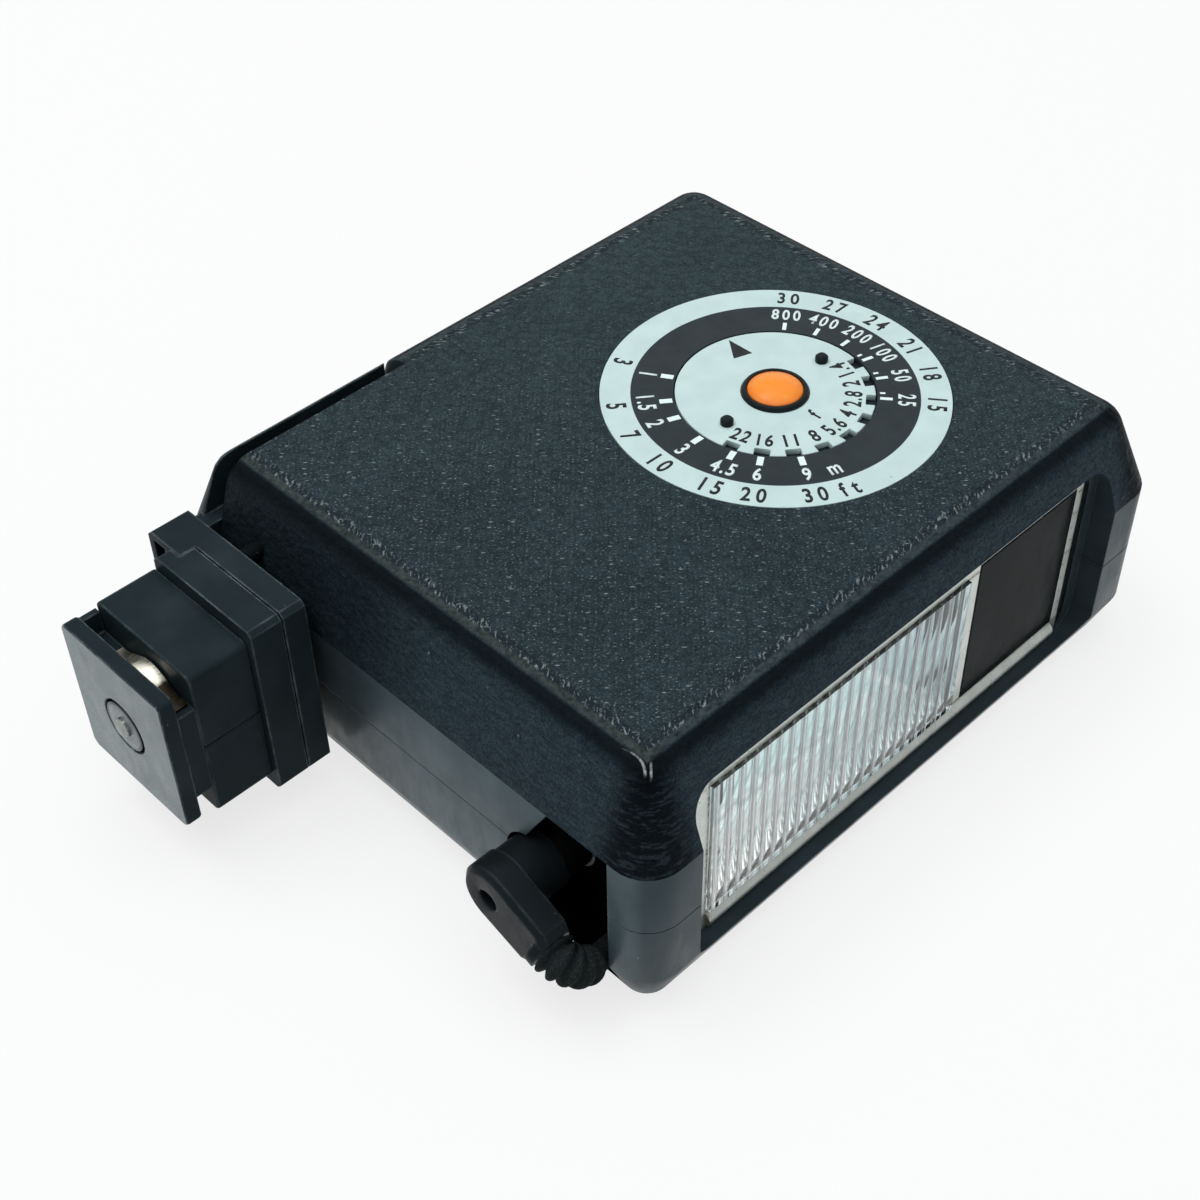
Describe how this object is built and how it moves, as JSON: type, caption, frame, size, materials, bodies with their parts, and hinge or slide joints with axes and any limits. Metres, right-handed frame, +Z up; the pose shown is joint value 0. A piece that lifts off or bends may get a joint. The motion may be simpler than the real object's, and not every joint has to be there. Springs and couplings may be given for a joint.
{
  "type": "camera flash",
  "caption": "Compact camera flash: grained case with a fluted flash window, a turning exposure dial, a sprung test button, a parked sync plug and a tilting accessory-shoe foot.",
  "frame": {"origin": "centre of the flat face that the case rests on", "axes": "+Z up out of the dial face, -X out of the shoe-foot end, -Y out of the flash window"},
  "size_m": [0.1047, 0.0755, 0.0343],
  "materials": {
    "grained_case": "fine leather grain, dusty",
    "plain_case": "smooth satin",
    "bright_frame": "satin silver",
    "clear_lens": "clear, fluted on the back",
    "black_plate": "gloss",
    "reflector_foil": "bright",
    "tube_glass": "clear",
    "black_rubber": "matt",
    "winding": "enamelled wire",
    "capacitor_can": "shrink sleeve",
    "board": "bare laminate",
    "dial_face": "printed black and pale",
    "dark_plastic": "satin",
    "nut_brass": "turned",
    "orange_button": "translucent",
    "lamp_glass": "clear",
    "spring_steel": "plated",
    "cell_sleeve": "printed sleeve without words",
    "satin_plastic": "smooth satin",
    "contact_metal": "polished",
    "plug_metal": "dull plating"
  },
  "bodies": {
    "case": {"upper_shell": "grained_case", "lower_shell": "plain_case", "window_frame": "bright_frame", "window_lens": "clear_lens", "window_plate": "black_plate", "reflector": "reflector_foil", "flash_tube": "tube_glass", "tube_caps": "black_rubber", "trigger_coil": "winding", "main_capacitor": "capacitor_can", "circuit_board": "board", "transformer": "winding", "dial_ring": "dial_face", "dial_bezel": "dark_plastic", "bezel_nut": "nut_brass", "ready_lamp": "lamp_glass", "button_spring": "spring_steel", "battery_box": "plain_case", "cell_front": "cell_sleeve", "cell_rear": "cell_sleeve", "battery_contacts": "spring_steel", "door_pin": "spring_steel", "switch_body": "dark_plastic", "case_screws": "spring_steel", "detent_stud": "spring_steel", "hinge_pin": "spring_steel", "plug_head": "black_rubber", "plug_barrel": "plug_metal", "plug_relief": "black_rubber", "sync_lead": "black_rubber", "lead_grommet": "black_rubber", "parking_peg": "dark_plastic"},
    "dial": {"calculator_disc": "dial_face", "disc_nubs": "dark_plastic"},
    "button": {"test_button": "orange_button"},
    "door": {"battery_door": "plain_case", "door_contact": "spring_steel"},
    "slider": {"power_slider": "satin_plastic"},
    "foot": {"tilt_bracket": "satin_plastic", "foot_collar": "satin_plastic", "neck_upper": "satin_plastic", "neck_lower": "satin_plastic", "foot_waist": "satin_plastic", "foot_plate": "satin_plastic", "shoe_spring": "spring_steel", "contact_insulator": "dark_plastic", "contact_spring": "spring_steel"},
    "contact": {"contact_pin": "contact_metal"}
  },
  "joints": [
    {"name": "foot_tilt", "type": "hinge", "parent": "case", "child": "foot", "pos_m": [-0.0158, 0.0347, 0.0165], "axis": [0, 0, -1], "range_deg": [0, 90]},
    {"name": "contact_press", "type": "slide", "parent": "foot", "child": "contact", "axis": [1, 0, 0], "range_m": [0, 0.0006], "stiffness_N_per_m": 500, "springref_m": -0.001, "deforming": ["contact_spring"]},
    {"name": "dial_turn", "type": "hinge", "parent": "case", "child": "dial", "pos_m": [0.0125, -0.0037, 0.033], "axis": [0, 0, 1], "continuous": true},
    {"name": "test_press", "type": "slide", "parent": "case", "child": "button", "axis": [0, 0, -1], "range_m": [0, 0.001], "stiffness_N_per_m": 400, "springref_m": -0.001, "deforming": ["button_spring"]},
    {"name": "door_swing", "type": "hinge", "parent": "case", "child": "door", "pos_m": [0.04075, 0.0098, 0.0186], "axis": [0, -1, 0], "range_deg": [0, 90]},
    {"name": "power_slide", "type": "slide", "parent": "case", "child": "slider", "axis": [1, 0, 0], "range_m": [0, 0.004]}
  ]
}
